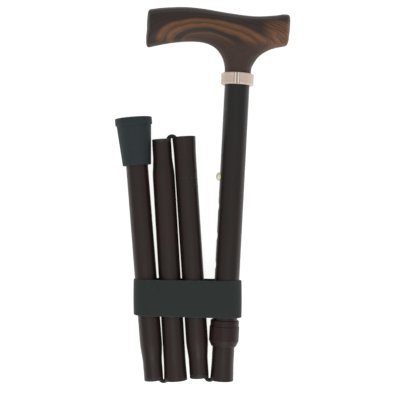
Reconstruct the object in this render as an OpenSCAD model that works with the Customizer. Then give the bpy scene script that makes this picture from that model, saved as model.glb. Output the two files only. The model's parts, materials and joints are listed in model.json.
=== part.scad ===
// Folding walking cane: four tube sections on one elastic cord, folded and held by a band.
// The cane lies on a table: +X to the heel of the handle, +Y toward the handle, +Z up.
// Every section is drawn upright in its own frame, then laid on the table.

/* [Tubes] */
// Outside diameter of the folding sections
tube_od = 19; // [17:0.5:22]
// Wall of the folding sections
tube_wall = 1.2; // [0.8:0.1:1.6]
// Clearance on each side of a sliding fit
slide_clear = 0.05; // [0.02:0.01:0.1]
// Length of the reduced neck at the plug end
neck_len = 17; // [14:0.5:22]
// Length of the taper from the neck to the full tube
taper_len = 13; // [8:0.5:16]
// Length of the flared mouth
flare_len = 15; // [8:0.5:20]
// Rise of the flare at the edge of the mouth
flare_rise = 0.6; // [0.3:0.1:1]
// Clearance between the edge of the mouth and the taper that seats in it
seat_clear = 0.15; // [0.05:0.05:0.25]
// Length of the second section
section_2_len = 207.5; // [160:0.5:260]
// Length of the third section
section_3_len = 207.5; // [160:0.5:260]
// Length of the last section, down to the ground face
section_4_len = 226; // [190:0.5:280]

/* [Fold] */
// Lean of the handle section on the table
rest_lean = 3; // [0:0.1:10]
// Angle left between the first and second sections
wedge_1 = 6.7; // [5:0.1:12]
// Angle left between the second and third sections
wedge_2 = 0.3; // [0:0.1:4]
// Angle left between the third and last sections
wedge_3 = 1.1; // [0.8:0.1:4]
// Least gap between folded neighbours
fold_gap = 0.4; // [0.3:0.1:2]
// Least gap between the first mouth and the second section as it slides in
pass_gap = 0.1; // [0.05:0.05:0.5]
// Distance from an open mouth out to its fold axis
pivot_out = 0.4; // [0.3:0.1:2]
// Distance from each neck's end out to its fold axis
tip_back = [2.9, 1.4, 1.8]; // [0.4:0.1:4]

/* [Handle section] */
// Wall of the upper tube
upper_wall = 1.15; // [0.8:0.05:1.6]
// Length of the upper tube
upper_len = 223; // [190:1:280]
// Length of the inner tube
inner_len = 200; // [180:1:230]
// Number of adjusting holes
hole_count = 5; // [2:1:5]
// Distance between adjusting holes
hole_pitch = 25.4; // [20:0.1:28]
// Distance from the inner tube's upper end down to the snap button
button_below = 25.2; // [24.5:0.1:34]
// Diameter of the snap button
button_d = 7; // [5:0.5:7]
// Reach of the button past the upper tube
button_out = 3.4; // [2:0.1:4]

/* [Lock] */
// Margin from a plugged neck's inner end up to the lock ring
lock_margin = 6.4; // [6:0.1:14]
// Diameter of the lock ring
lock_d = 25.6; // [25:0.1:28]
// Height of the lock ring's straight belt
belt_h = 12.1; // [10:0.1:18]
// Height of the lock ring's sloped lower edge
slope_h = 5.9; // [4:0.1:8]
// Diameter of the lock sleeve's cap
cap_d = 24.6; // [24.2:0.1:28]
// Height of the lock sleeve's cap
cap_h = 5.3; // [3:0.1:8]

/* [Handle] */
// Reach of the nose in front of the shaft
nose_reach = 78.8; // [60:0.1:100]
// Reach of the heel behind the shaft
heel_reach = 42.7; // [35:0.1:60]
// Height of the handle above the collar
handle_rise = 53.7; // [45:0.1:70]
// Depth of the handle
handle_depth = 23.2; // [20:0.1:30]
// Width of the handle's neck
handle_neck_d = 22.4; // [20:0.1:26]
// Diameter of the collar
collar_d = 28.4; // [27.5:0.1:34]
// Height of the collar
collar_h = 11.2; // [9:0.1:16]
// Depth of the handle's tenon bore
tenon_len = 30; // [20:1:36]

/* [Band] */
// Height of the storage band
band_h = 31.3; // [15:0.1:40]
// Wall of the storage band
band_wall = 1.5; // [1:0.1:2]
// Height of the band's lower edge above the inner tube's mouth
band_rise = 55.4; // [54:0.1:70]

/* [Ferrule] */
// Length of the ferrule
ferrule_len = 39.8; // [30:0.1:50]
// Diameter of the rim at the ground
rim_d = 31.8; // [30:0.1:34]
// Height of the rim
rim_h = 5.5; // [4:0.1:8]
// Diameter of the body above the rim
shoulder_d = 30.2; // [27:0.1:30.4]
// Diameter of the open end
sleeve_d = 24; // [22.5:0.1:26]
// Rubber under the washer
sole = 7.3; // [5:0.1:10]

/* [Cord] */
// Diameter of the elastic cord
cord_d = 2.6; // [2:0.1:2.8]
// Radius of the cord's bend from tube to tube
loop_r = 3.8; // [3.6:0.1:4]

/* [Hidden] */
$fn = 64;

// Overrun of every cut
over = 1;
// Gap between pieces that are pressed or screwed together
fit = 0.05;
// Gap between faces that lie against each other
face_gap = 0.1;

// Tube radii
tube_r = tube_od / 2;
bore_r = tube_r - tube_wall;
neck_r = bore_r - slide_clear;
neck_bore_r = neck_r - tube_wall;
mouth_r = tube_r + flare_rise;
upper_bore_r = tube_r + slide_clear;
upper_r = upper_bore_r + upper_wall;
shoulder_z = neck_len + taper_len;
plug_depth = neck_len + taper_len * (flare_rise + slide_clear - seat_clear) / (tube_r - neck_r);

// End bushes: flange at the tip, thin spigot inside the neck
bush_flange_h = 2.4;
bush_spigot_len = 9;
bush_wall = 0.6;
bush_bore_r = neck_bore_r - fit - bush_wall;
bush_flare = 1.1;

// Lock: sleeve seat for the upper tube, thread diameter, gasket
lip_h = 3.2;
gasket_h = 2.6;
ledge_h = 3;
thread_clear = 0.15;
sleeve_wall = 0.9;
lock_r = lock_d / 2;
lock_rise = plug_depth + lock_margin;
lock_h = slope_h + belt_h;
thread_r = upper_r + fit + sleeve_wall;
grip_bore_r = tube_r + face_gap;
gasket_z = lock_rise + lip_h + face_gap;
sleeve_z = gasket_z + gasket_h + face_gap;
upper_z = sleeve_z + ledge_h + face_gap;
cap_z = lock_rise + lock_h + face_gap;
lock_edge = 0.5;
lock_foot_wall = 0.9;
lock_foot_r = grip_bore_r + face_gap + lock_foot_wall;
cap_edge = 0.5;
sleeve_slots = 4;
slot_w = 1.2;

// Top of the shaft: tube end inside the collar, handle above it
upper_top = upper_z + upper_len;
collar_grip = 7;
collar_z = upper_top - collar_grip;
collar_bevel = 1.2;
bar_w = 1.4;
bar_pitch = 2.5;
bar_shift = 0.45;
bar_out = 0.4;
handle_z = collar_z + collar_h + face_gap;
spigot_z = upper_top + face_gap;
insert_len = 24;
insert_z = upper_top - insert_len;
tenon_r = 6.5;
handle_neck_r = handle_neck_d / 2;
screw_r = 2;
screw_head_r = 4;
screw_head_h = 2.6;
screw_bite = 9;
screw_tip = 2.5;

// Snap button and its leaf spring
button_r = button_d / 2;
button_rise = inner_len - button_below;
button_lip = 0.8;
button_flange_r = button_r + button_lip;
button_flange_h = 0.8;
button_dome = 1.6;
hole_clear = 0.2;
leaf_t = 0.6;
leaf_w = 7;
leaf_below = 8;
leaf_above = 9;
leaf_back = 1.1;
flange_top = sqrt(pow(bore_r, 2) - pow(button_flange_r, 2)) - hole_clear;
leaf_x = flange_top - button_flange_h - face_gap;
leaf_far_x = bore_r - leaf_back;

// Plugs inside the tubes
bush_cap_h = 3;
glide_len = 6;
anchor_below = 36.8;
anchor_z = button_rise - anchor_below;
anchor_len = 12;
anchor_play = 1;
anchor_bore_r = cord_d / 2 + anchor_play;
crimp_r = 3.4;
crimp_len = 5;
crimp_gap = 0.25;
foot_plug_len = 15;
washer_t = 1.5;
rim_round = 1;
tread_count = 3;
tread_first = 5;
tread_pitch = 3;
tread_w = 1.2;
tread_depth = 1;

// Cord: bend centre below the mouth, straight legs inside the tubes, gap at each joint in the run
cord_r = cord_d / 2;
loop_sink = 1.75;
leg_len = 14;
leg_lap = 0.5;
leg_thin = 0.05;
leg_wall_gap = 0.5;
cord_joint_gap = 0.15;
leg_offset = bore_r - cord_r - leg_wall_gap;

// Band: gap to the tubes inside it
band_gap = 0.35;

// Flat poses: a pose is [x, z, turn about Y], seen from the front with z up
function step(pose, x, z) =
    [pose[0] + x * cos(pose[2]) + z * sin(pose[2]),
     pose[1] - x * sin(pose[2]) + z * cos(pose[2]), pose[2]];
function turned(pose, angle) = [pose[0], pose[1], pose[2] + angle];
function spot(pose) = [pose[0], pose[1]];
function axis_x(pose, z) = pose[0] + (z - pose[1]) * tan(pose[2]);

// Distance from a fold axis to each tube's axis that leaves the gap where the wider radius is widest
function pivot_side(wide_r, near_r, rise, wedge, gap) =
    (wide_r + gap + near_r / cos(wedge) - rise * tan(wedge)) / (1 + 1 / cos(wedge));
function fold_side(wide_r, rise, wedge) =
    max(pivot_side(wide_r, tube_r, rise, wedge, fold_gap),
        pivot_side(mouth_r, neck_r, pivot_out, wedge, fold_gap));

// Radius of the second section beside the first mouth, once it has slid all the way along its axis
pass_z = plug_depth + pivot_out * 2;
pass_r = neck_r + (tube_r - neck_r) * (pass_z - neck_len) / taper_len;

wedges = [wedge_1, wedge_2, wedge_3];
function hand_of(k) = k % 2 == 0 ? 1 : -1;
sides = [max(fold_side(lock_r, lock_rise + slope_h + pivot_out, wedge_1),
             pivot_side(mouth_r, pass_r, pivot_out, wedge_1, pass_gap)),
         fold_side(tube_r, shoulder_z + tip_back[1], wedge_2),
         fold_side(tube_r, shoulder_z + tip_back[2], wedge_3)];
lengths = [0, section_2_len, section_3_len];
foot_end = section_4_len - sole - washer_t;

// Poses of the handle section, then of each fold axis and the section that hangs on it
function fold_pose(pose, k) = step(pose, hand_of(k) * sides[k], lengths[k] + pivot_out);
function folded(pose, k) =
    step(turned(fold_pose(pose, k), hand_of(k) * (180 - wedges[k])), -hand_of(k) * sides[k], tip_back[k]);
shaft = [0, 0, rest_lean];
mouth_1 = turned(shaft, 180);
section_2 = folded(mouth_1, 0);
section_3 = folded(section_2, 1);
section_4 = folded(section_3, 2);
ground = turned(step(section_4, 0, section_4_len), 180);
hosts = [mouth_1, section_2, section_3];
pivots = [for (k = [0:2]) fold_pose(hosts[k], k)];

// The cord's bend at each fold: its centre, and the ends of its two legs
bends = [for (k = [0:2])
    step(turned(pivots[k], hand_of(k) * -wedges[k] / 2),
         hand_of(k) * (leg_offset + loop_r - sides[k]), -pivot_out - loop_sink)];
function leg_end(k, hand) =
    let (b = turned(bends[k], hand * hand_of(k) * -wedges[k] / 2))
    spot(step(b, hand * hand_of(k) * loop_r, -leg_len));

cord_top = spot(step(shaft, 0, anchor_z + anchor_len + crimp_gap + crimp_len));
cord_foot = spot(step(section_4, 0, foot_end - crimp_gap));

// Middle of the folded cane on the table
crest_share = 0.59;
high_z = step(shaft, -nose_reach * crest_share, handle_z + handle_rise)[1];
low_z = bends[2][1] - loop_r - cord_r;
right_x = step(shaft, heel_reach, handle_z + handle_rise)[0];
left_x = step(ground, rim_d / 2, 0)[0];
mid_x = (left_x + right_x) / 2;
mid_z = (low_z + high_z) / 2;
rest_h = max(rim_d, collar_d, lock_d) / 2;

module on_table() { translate([-mid_x, -mid_z, rest_h]) rotate([-90, 0, 0]) children(); }
module at(pose) { on_table() translate([pose[0], 0, pose[1]]) rotate([0, pose[2], 0]) children(); }

// Outline of the handle, from the neck round the heel, the top and the nose, back to the neck.
// Each row: along, up, then the spine point that it closes on, along and up.
heel_shares = [
    [0.31, 0.15, 0.02, 0.32], [0.35, 0.205, 0.05, 0.43], [0.41, 0.27, 0.14, 0.56],
    [0.525, 0.343, 0.32, 0.66], [0.70, 0.413, 0.60, 0.70], [0.88, 0.45, 0.84, 0.71],
    [0.945, 0.466, 0.87, 0.71], [0.975, 0.51, 0.88, 0.71], [0.988, 0.60, 0.88, 0.71],
    [1, 0.80, 0.88, 0.71], [0.995, 0.895, 0.88, 0.71], [0.975, 0.95, 0.87, 0.71],
    [0.935, 0.965, 0.84, 0.71], [0.73, 0.942, 0.70, 0.705], [0.55, 0.924, 0.53, 0.70],
    [0.365, 0.91, 0.35, 0.70], [0.185, 0.91, 0.17, 0.70]];
nose_shares = [
    [0, 0.92, 0, 0.70], [0.20, 0.95, 0.20, 0.71], [0.39, 0.985, 0.39, 0.72],
    [crest_share, 1, crest_share, 0.725], [0.79, 0.98, 0.79, 0.68], [0.945, 0.945, 0.90, 0.65],
    [0.99, 0.925, 0.93, 0.64], [1, 0.86, 0.935, 0.64], [1, 0.60, 0.935, 0.63],
    [1, 0.38, 0.935, 0.62], [0.988, 0.33, 0.93, 0.62], [0.945, 0.34, 0.90, 0.63],
    [0.83, 0.385, 0.80, 0.67], [0.70, 0.425, 0.68, 0.70], [0.57, 0.45, 0.55, 0.72],
    [0.44, 0.455, 0.41, 0.72], [0.34, 0.43, 0.26, 0.71], [0.26, 0.37, 0.14, 0.68],
    [0.203, 0.283, 0.05, 0.58], [0.168, 0.19, 0.01, 0.40]];
neck_swell_share = 1.04;
neck_knee_share = 0.09;
neck_spine_share = 0.2;
function outline_row(row, reach) =
    [row[0] * reach, row[1] * handle_rise, row[2] * reach, row[3] * handle_rise];
function neck_rows(hand) =
    [[hand * handle_neck_r, -over, 0, -over],
     [hand * handle_neck_r * neck_swell_share, neck_knee_share * handle_rise, 0,
      neck_spine_share * handle_rise]];
heel_rows = [for (row = heel_shares) outline_row(row, heel_reach)];
nose_rows = [for (row = nose_shares) outline_row(row, -nose_reach)];
nose_neck = neck_rows(-1);
outline = concat(neck_rows(1), heel_rows, nose_rows, [nose_neck[1], nose_neck[0]]);

// Smooth curve through the outline, with slopes weighed by the distance to each neighbour
function gap_to(i) = norm([outline[i + 1][0] - outline[i][0], outline[i + 1][1] - outline[i][1]]);
function slope(i) =
    let (last = len(outline) - 1)
    i == 0 ? (outline[1] - outline[0]) / gap_to(0) :
    i == last ? (outline[last] - outline[last - 1]) / gap_to(last - 1) :
    let (a = gap_to(i - 1), b = gap_to(i))
    ((outline[i] - outline[i - 1]) * b / a + (outline[i + 1] - outline[i]) * a / b) / (a + b);
function curve_at(i, t) =
    let (d = gap_to(i))
    outline[i] * (2 * pow(t, 3) - 3 * pow(t, 2) + 1) + slope(i) * d * (pow(t, 3) - 2 * pow(t, 2) + t)
    + outline[i + 1] * (3 * pow(t, 2) - 2 * pow(t, 3)) + slope(i + 1) * d * (pow(t, 3) - pow(t, 2));
curve_step_count = 2;
curve = concat([for (i = [0:len(outline) - 2], s = [0:curve_step_count - 1])
                    curve_at(i, s / curve_step_count)],
               [outline[len(outline) - 1]]);

// Points on the curve where the nose, the heel and the neck part, and the two ends of the grip
neck_row_count = len(nose_neck);
fork_row_count = 3;
heel_end_row_count = 11;
nose_end_row_count = 27;
top_i = (neck_row_count + len(heel_shares)) * curve_step_count;
heel_fork_i = fork_row_count * curve_step_count;
nose_fork_i = (len(outline) - 1 - fork_row_count) * curve_step_count;
heel_end_i = heel_end_row_count * curve_step_count;
nose_end_i = nose_end_row_count * curve_step_count;

// Triangles between two chains of points: one runs along the outline, the other against it
function strip(along, against) =
    let (n = len(along) - 1, m = len(against) - 1)
    concat([for (i = [0:n - 1]) let (j = ceil(m * (i + 0.5) / n - 0.5))
                [along[i], along[i + 1], against[j]]],
           [for (j = [0:m - 1]) let (i = floor(n * (j + 0.5) / m + 0.5))
                [against[j + 1], against[j], along[i]]]);
function span(from, to) = [for (i = [from:from < to ? 1 : -1:to]) i];
flat_face = concat(
    strip(span(top_i, nose_end_i), span(nose_fork_i, nose_end_i + 1)),
    strip(span(heel_fork_i, heel_end_i - 1), span(top_i, heel_end_i)),
    strip(span(0, heel_fork_i), span(len(curve) - 1, nose_fork_i)),
    [[heel_fork_i, top_i, nose_fork_i]]);

// Swells the outline: each ring closes on the spine as it rises to the handle's front or back
swell_angles = [-80, -66, -50, -32, -11, 11, 32, 50, 66, 80];
module swollen_handle() {
    n = len(curve);
    rings = len(swell_angles);
    last = (rings - 1) * n;
    points = [for (a = swell_angles, c = curve)
        [c[2] + (c[0] - c[2]) * cos(a), sin(a) * handle_depth / 2, c[3] + (c[1] - c[3]) * cos(a)]];
    walls = [for (r = [0:rings - 2], i = [0:n - 1], half = [0, 1])
        let (j = (i + 1) % n, a = r * n + i, b = r * n + j)
        half == 0 ? [a, b, a + n] : [b, b + n, a + n]];
    front = [for (f = flat_face) [f[2], f[1], f[0]]];
    back = [for (f = flat_face) [last + f[0], last + f[1], last + f[2]]];
    polyhedron(points, concat(front, walls, back), convexity = 6);
}

// Handle and the top of the shaft
module handle() {
    color("#3a221a") at(shaft) translate([0, 0, handle_z]) difference() {
        union() {
            difference() {
                swollen_handle();
                translate([-nose_reach, -handle_depth, -handle_rise])
                    cube([nose_reach + heel_reach, handle_depth * 2, handle_rise]);
            }
            translate([0, 0, spigot_z - handle_z])
                cylinder(r = handle_neck_r - face_gap, h = handle_z - spigot_z + over);
        }
        translate([0, 0, spigot_z - handle_z - over])
            cylinder(r = tenon_r + fit, h = tenon_len + fit + over);
        translate([0, 0, spigot_z - handle_z])
            cylinder(r = screw_r + fit, h = tenon_len + screw_bite);
    }
}
module handle_collar() {
    r = collar_d / 2;
    color("#c9b1a1") at(shaft) translate([0, 0, collar_z]) {
        rotate_extrude() polygon([
            [upper_r + fit, 0], [r - collar_bevel, 0], [r, collar_bevel],
            [r, collar_h - collar_bevel], [r - collar_bevel, collar_h],
            [handle_neck_r + fit, collar_h], [handle_neck_r + fit, collar_grip],
            [upper_r + fit, collar_grip]]);
        for (hand = [-1, 1])
            translate([bar_shift + hand * bar_pitch / 2 - bar_w / 2, -r - bar_out, collar_bevel])
                cube([bar_w, collar_bevel, collar_h - collar_bevel * 2]);
    }
}
module handle_insert() {
    color("#d8d5cc") at(shaft) difference() {
        union() {
            translate([0, 0, insert_z]) cylinder(r = upper_bore_r - fit, h = insert_len);
            translate([0, 0, insert_z]) cylinder(r = tenon_r, h = spigot_z - insert_z + tenon_len);
        }
        translate([0, 0, insert_z - over])
            cylinder(r = screw_r + fit, h = spigot_z - insert_z + tenon_len + over * 2);
        translate([0, 0, insert_z - over]) cylinder(r = screw_head_r + fit, h = screw_head_h + over);
    }
}
module handle_screw() {
    shank_len = spigot_z - insert_z + tenon_len + screw_bite - screw_tip;
    color("#8c8f92") at(shaft) translate([0, 0, insert_z]) difference() {
        union() {
            cylinder(r = screw_head_r, h = screw_head_h);
            cylinder(r = screw_r, h = shank_len - screw_tip);
            translate([0, 0, shank_len - screw_tip]) cylinder(r1 = screw_r, r2 = face_gap, h = screw_tip);
        }
        for (angle = [0, 90]) rotate([0, 0, angle])
            translate([-screw_head_r / 2, -slot_w / 2, -over])
                cube([screw_head_r, slot_w, over + screw_head_h / 2]);
    }
}
module upper_tube() {
    color("#2f2b2b") at(shaft) difference() {
        translate([0, 0, upper_z]) cylinder(r = upper_r, h = upper_len);
        translate([0, 0, upper_z - over]) cylinder(r = upper_bore_r, h = upper_len + over * 2);
        for (i = [0:hole_count - 1]) translate([0, 0, button_rise - i * hole_pitch])
            rotate([0, -90, 0]) cylinder(r = button_r + hole_clear, h = upper_r + over);
    }
}

// Lock at the foot of the upper tube
module lock_sleeve() {
    cap_r = cap_d / 2;
    color("#35201f") at(shaft) difference() {
        rotate_extrude() polygon([
            [grip_bore_r, sleeve_z], [thread_r, sleeve_z], [thread_r, cap_z], [cap_r, cap_z],
            [cap_r, cap_z + cap_h - cap_edge], [cap_r - cap_edge, cap_z + cap_h],
            [upper_r + fit, cap_z + cap_h], [upper_r + fit, upper_z - face_gap],
            [grip_bore_r, upper_z - face_gap]]);
        for (i = [0:sleeve_slots - 1]) rotate([0, 0, i * 360 / sleeve_slots])
            translate([0, -slot_w / 2, sleeve_z - over])
                cube([thread_r + over, slot_w, over + ledge_h - face_gap]);
    }
}
module lock_gasket() {
    color("#5a5a58") at(shaft) translate([0, 0, gasket_z]) difference() {
        cylinder(r = thread_r, h = gasket_h);
        translate([0, 0, -over]) cylinder(r = grip_bore_r, h = gasket_h + over * 2);
    }
}
module lock_ring() {
    color("#3c2422") at(shaft) translate([0, 0, lock_rise]) rotate_extrude() polygon([
        [grip_bore_r + face_gap, 0], [lock_foot_r, 0], [lock_r, slope_h],
        [lock_r, lock_h - lock_edge], [lock_r - lock_edge, lock_h], [thread_r + thread_clear, lock_h],
        [thread_r + thread_clear, lip_h], [grip_bore_r + face_gap, lip_h]]);
}

// Closed band round all four sections
module storage_band() {
    top = band_rise + band_h;
    inner_r = upper_r + band_gap;
    left = axis_x(section_4, top) - tube_r / cos(section_4[2]) - band_gap + inner_r;
    right = axis_x(shaft, top) + upper_r / cos(rest_lean) + band_gap - inner_r;
    color("#303230") on_table() translate([0, 0, band_rise]) linear_extrude(band_h) difference() {
        stadium(left, right, inner_r + band_wall);
        stadium(left, right, inner_r);
    }
}
module stadium(left, right, r) {
    for (x = [left, right]) translate([x, 0]) circle(r = r);
    translate([left, -r]) square([right - left, r * 2]);
}

// Inner tube and what it carries
module inner_tube() {
    color("#3b3130") at(shaft) difference() {
        rotate_extrude() polygon([
            [bore_r + flare_rise, 0], [mouth_r, 0], [tube_r, flare_len], [tube_r, inner_len],
            [bore_r, inner_len], [bore_r, flare_len]]);
        translate([0, 0, button_rise]) rotate([0, -90, 0])
            cylinder(r = button_r + hole_clear / 2, h = tube_r + over);
    }
}
module glide_bush() {
    color("#d8d5cc") at(shaft) translate([0, 0, inner_len]) difference() {
        union() {
            translate([0, 0, face_gap]) cylinder(r = tube_r, h = bush_cap_h);
            translate([0, 0, -glide_len]) cylinder(r = bore_r - fit, h = glide_len + bush_cap_h);
        }
        translate([0, 0, -glide_len - over])
            cylinder(r = bore_r / 2, h = glide_len + bush_cap_h + over * 2);
    }
}
module snap_button() {
    tip = upper_r + button_out;
    neck = flange_top - button_flange_h;
    ball_r = (pow(button_r, 2) + pow(button_dome, 2)) / (2 * button_dome);
    color("#d9c79a") at(shaft) translate([0, 0, button_rise]) rotate([0, -90, 0]) {
        translate([0, 0, neck]) cylinder(r = button_flange_r, h = button_flange_h);
        intersection() {
            translate([0, 0, neck]) cylinder(r = button_r, h = tip - neck);
            translate([0, 0, tip - ball_r]) sphere(r = ball_r, $fn = 96);
        }
        translate([0, 0, neck]) cylinder(r = button_r, h = (tip - neck) / 2);
    }
}
module button_spring() {
    bend_r = (leaf_x + leaf_far_x) / 2;
    leg = leaf_below + leaf_above;
    color("#9a9c9e") at(shaft)
        translate([(leaf_far_x - leaf_x) / 2, leaf_w / 2, button_rise - leaf_below])
            rotate([90, 0, 0]) linear_extrude(leaf_w) difference() {
                arch(bend_r, 0, leg);
                arch(bend_r - leaf_t, -over, leg);
            }
}
module arch(r, foot, spring_z) {
    translate([0, spring_z]) circle(r = r);
    translate([-r, foot]) square([r * 2, spring_z - foot]);
}
module cord_anchor() {
    color("#d8d5cc") at(shaft) translate([0, 0, anchor_z]) drilled_plug(anchor_len);
}
module cord_crimp_top() { color("#a8aaac") at(aim(cord_top, leg_end(0, -1))) crimp(); }
module drilled_plug(h) {
    difference() {
        cylinder(r = bore_r - fit, h = h);
        translate([0, 0, -over]) cylinder(r = anchor_bore_r, h = h + over * 2);
    }
}
module crimp() {
    difference() {
        cylinder(r = crimp_r, h = crimp_len);
        translate([0, 0, -over]) cylinder(r = cord_r + fit, h = crimp_len + over * 2);
    }
}

// Folding sections, drawn from the neck's end up
module section_tube(pose, end_z, rise) {
    color("#3b3130") at(pose) rotate_extrude() polygon([
        [neck_bore_r, bush_flange_h], [neck_r, bush_flange_h], [neck_r, neck_len],
        [tube_r, shoulder_z], [tube_r, end_z - flare_len], [tube_r + rise, end_z],
        [bore_r + rise, end_z], [bore_r, end_z - flare_len], [bore_r, shoulder_z],
        [neck_bore_r, neck_len]]);
}
module end_bush(pose) {
    spigot_r = neck_bore_r - fit;
    color("#26282a") at(pose) rotate_extrude() polygon([
        [bush_bore_r + bush_flare, 0], [neck_r - fit, 0], [neck_r - fit, bush_flange_h - fit],
        [spigot_r, bush_flange_h - fit], [spigot_r, bush_flange_h + bush_spigot_len],
        [bush_bore_r, bush_flange_h + bush_spigot_len], [bush_bore_r, bush_flare]]);
}
module tube_2() { section_tube(section_2, section_2_len, flare_rise); }
module tube_3() { section_tube(section_3, section_3_len, flare_rise); }
module tube_4() { section_tube(section_4, foot_end, 0); }

// Cord: straight runs inside the tubes, and the bends between them
function aim(from, to) = [from[0], from[1], atan2(to[0] - from[0], to[1] - from[1])];
module cord_run(from, to, from_gap, to_gap) {
    color("#151516") at(aim(from, to)) translate([0, 0, from_gap])
        cylinder(r = cord_r, h = norm(to - from) - from_gap - to_gap);
}
module cord_run_1() { cord_run(cord_top, leg_end(0, -1), 0, cord_joint_gap); }
module cord_run_2() { cord_run(leg_end(0, 1), leg_end(1, -1), cord_joint_gap, cord_joint_gap); }
module cord_run_3() { cord_run(leg_end(1, 1), leg_end(2, -1), cord_joint_gap, cord_joint_gap); }
module cord_run_4() { cord_run(cord_foot, leg_end(2, 1), 0, cord_joint_gap); }
module cord_loop(k) {
    half = wedges[k] / 2;
    color("#151516") at(bends[k]) rotate([90, 0, 0]) {
        rotate([0, 0, half]) rotate_extrude(angle = 180 - wedges[k])
            translate([loop_r, 0]) circle(r = cord_r);
        for (hand = [-1, 1]) rotate([0, 0, hand * half]) translate([hand * loop_r, 0, 0])
            translate([0, leg_lap, 0]) rotate([90, 0, 0])
                cylinder(r = cord_r - leg_thin, h = leg_len + leg_lap);
    }
}

// Foot
module foot_anchor() {
    color("#d8d5cc") at(section_4) translate([0, 0, foot_end - foot_plug_len]) difference() {
        drilled_plug(foot_plug_len);
        translate([0, 0, foot_plug_len - crimp_len - crimp_gap * 2])
            cylinder(r = crimp_r + crimp_gap, h = crimp_len + over);
    }
}
module cord_crimp_foot() { color("#a8aaac") at(aim(cord_foot, leg_end(2, 1))) crimp(); }
module ferrule() {
    rim_r = rim_d / 2;
    socket_r = tube_r + fit;
    treads = [for (i = [0:tread_count - 1], corner = [[0, 0], [0, 1], [1, 1], [1, 0]])
        [tread_first + i * tread_pitch + corner[0] * tread_w, corner[1] * tread_depth]];
    color("#33383a") at(ground) rotate_extrude() polygon(concat([[0, 0]], treads, [
        [rim_r - rim_round, 0], [rim_r, rim_round], [rim_r, rim_h - rim_round],
        [shoulder_d / 2, rim_h], [sleeve_d / 2, ferrule_len], [socket_r, ferrule_len],
        [socket_r, sole], [0, sole]]));
}
module ferrule_washer() {
    color("#8c8f92") at(ground) translate([0, 0, sole + face_gap])
        cylinder(r = tube_r - face_gap, h = washer_t - face_gap * 2);
}

handle();
handle_collar();
handle_insert();
handle_screw();
upper_tube();
lock_sleeve();
lock_gasket();
lock_ring();
storage_band();
inner_tube();
glide_bush();
snap_button();
button_spring();
cord_anchor();
cord_crimp_top();
cord_run_1();
cord_loop(0);  // cord_loop_1
tube_2();
end_bush(section_2);  // end_bush_2
cord_run_2();
cord_loop(1);  // cord_loop_2
tube_3();
end_bush(section_3);  // end_bush_3
cord_run_3();
cord_loop(2);  // cord_loop_3
tube_4();
end_bush(section_4);  // end_bush_4
cord_run_4();
foot_anchor();
cord_crimp_foot();
ferrule();
ferrule_washer();
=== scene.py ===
"""Folding cane: the looks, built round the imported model, in metres and in the model's own frame."""

import json
import math
from collections import namedtuple
from contextlib import contextmanager

import bmesh
import bpy
import numpy as np
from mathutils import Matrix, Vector


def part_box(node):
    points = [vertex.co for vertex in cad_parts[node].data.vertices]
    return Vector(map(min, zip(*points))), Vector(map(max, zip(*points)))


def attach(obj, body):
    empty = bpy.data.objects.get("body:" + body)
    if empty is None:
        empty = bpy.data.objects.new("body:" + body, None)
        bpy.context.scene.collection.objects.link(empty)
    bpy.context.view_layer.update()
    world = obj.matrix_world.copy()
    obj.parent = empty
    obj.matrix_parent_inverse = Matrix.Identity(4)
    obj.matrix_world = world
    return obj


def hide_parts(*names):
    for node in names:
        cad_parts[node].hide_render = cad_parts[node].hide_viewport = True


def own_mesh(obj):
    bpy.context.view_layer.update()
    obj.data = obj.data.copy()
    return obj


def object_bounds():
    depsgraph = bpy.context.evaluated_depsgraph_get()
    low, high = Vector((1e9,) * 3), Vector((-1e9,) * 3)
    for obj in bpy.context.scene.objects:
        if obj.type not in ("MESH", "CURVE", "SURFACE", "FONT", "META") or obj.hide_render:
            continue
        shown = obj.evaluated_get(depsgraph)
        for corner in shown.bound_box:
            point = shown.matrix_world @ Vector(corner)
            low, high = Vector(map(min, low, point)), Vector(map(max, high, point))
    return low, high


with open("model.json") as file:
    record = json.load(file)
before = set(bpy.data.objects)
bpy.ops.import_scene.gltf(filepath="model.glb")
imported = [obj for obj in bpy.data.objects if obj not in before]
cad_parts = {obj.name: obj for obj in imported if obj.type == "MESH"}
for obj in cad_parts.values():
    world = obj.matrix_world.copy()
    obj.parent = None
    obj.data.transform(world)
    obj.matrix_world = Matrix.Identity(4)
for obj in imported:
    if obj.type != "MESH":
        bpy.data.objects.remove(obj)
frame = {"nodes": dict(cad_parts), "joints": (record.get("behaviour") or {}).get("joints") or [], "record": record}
cad_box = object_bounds()
joints = {joint["name"]: joint for joint in frame["joints"]}
mounts = {mount["name"]: mount for mount in frame["record"]["mounts"]}

MM = 0.001
UP = np.array((0.0, 0.0, 1.0))


def unit(vector):
    """Vector of length one in the same direction."""
    vector = np.array(vector, float)
    return vector / np.linalg.norm(vector)


# Directions: the shaft's up to the handle, and each folding section's from its plug end to its far end
SHAFT = -unit(joints["height_adjust"]["axis"])
SECTION_2 = -unit(joints["plug_2"]["axis"])
SECTION_3 = -unit(joints["plug_3"]["axis"])
SECTION_4 = unit(mounts["foot_face"]["axis"])

# A node's place on its own axis, and a tube that the cord runs into
Place = namedtuple("Place", "start along side length")
Tube = namedtuple("Tube", "node along body")
INNER = Tube("inner_tube", -SHAFT, "inner_section")
SECOND = Tube("tube_2", SECTION_2, "section_2")
THIRD = Tube("tube_3", SECTION_3, "section_3")
FOURTH = Tube("tube_4", SECTION_4, "section_4")

# Meshes: a corner's curve that reaches no further than EDGE is an edge, and gets edge wear and painted highlight
EDGE = 0.8 * MM
CORNER_STEPS = 5
LATHE_SEGMENTS = 96
SAME_POINT = 0.001 * MM
WELD_WITHIN = 0.002 * MM
NODE_EDGE = 0.15 * MM
NODE_EDGE_STEPS = 2
BEVEL_ANGLE = math.radians(32)
SHARP_ANGLE = math.radians(40)

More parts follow.
